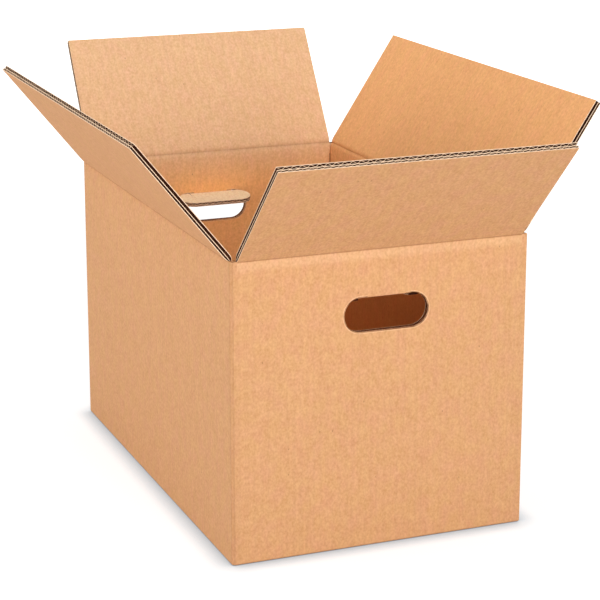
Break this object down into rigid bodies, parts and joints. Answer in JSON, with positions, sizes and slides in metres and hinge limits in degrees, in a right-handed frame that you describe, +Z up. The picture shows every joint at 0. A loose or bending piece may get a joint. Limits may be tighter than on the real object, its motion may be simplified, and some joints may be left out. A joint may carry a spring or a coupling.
{
  "type": "moving box",
  "caption": "Open moving box of double-wall corrugated board, with four hinged top flaps and a hand hole with a pushed-in tab in each end wall.",
  "frame": {"origin": "middle of the box's footprint, on the surface that it stands on (underside of the bottom tape)", "axes": "+X across the end walls, towards the right wall; +Y along the long walls, from the front end wall to the back end wall; +Z up"},
  "size_m": [0.4941, 0.6999, 0.4402],
  "materials": {
    "board": "matte kraft liner, faint streaks along the flutes",
    "tape": "satin gummed paper"
  },
  "bodies": {
    "box": {"carton": "board", "bottom_tape": "tape"},
    "front_flap": {"front_flap": "board"},
    "back_flap": {"back_flap": "board"},
    "left_flap": {"left_flap": "board"},
    "right_flap": {"right_flap": "board"},
    "front_hole_tab": {"front_hole_tab": "board"},
    "back_hole_tab": {"back_hole_tab": "board"}
  },
  "joints": [
    {"name": "front_flap_crease", "type": "hinge", "parent": "box", "child": "front_flap", "pos_m": [0, -0.2534, 0.3082], "axis": [1, 0, 0], "range_deg": [-135, 90]},
    {"name": "back_flap_crease", "type": "hinge", "parent": "box", "child": "back_flap", "pos_m": [0, 0.2534, 0.3082], "axis": [-1, 0, 0], "range_deg": [-123, 102]},
    {"name": "left_flap_crease", "type": "hinge", "parent": "box", "child": "left_flap", "pos_m": [-0.153, 0, 0.3097], "axis": [0, -1, 0], "range_deg": [-129, 61]},
    {"name": "right_flap_crease", "type": "hinge", "parent": "box", "child": "right_flap", "pos_m": [0.153, 0, 0.3097], "axis": [0, 1, 0], "range_deg": [-123, 67]},
    {"name": "front_tab_crease", "type": "hinge", "parent": "box", "child": "front_hole_tab", "pos_m": [0.004, -0.248, 0.2602], "axis": [1, 0, 0], "range_deg": [-82, 53]},
    {"name": "back_tab_crease", "type": "hinge", "parent": "box", "child": "back_hole_tab", "pos_m": [-0.004, 0.248, 0.2602], "axis": [-1, 0, 0], "range_deg": [-82, 53]}
  ]
}
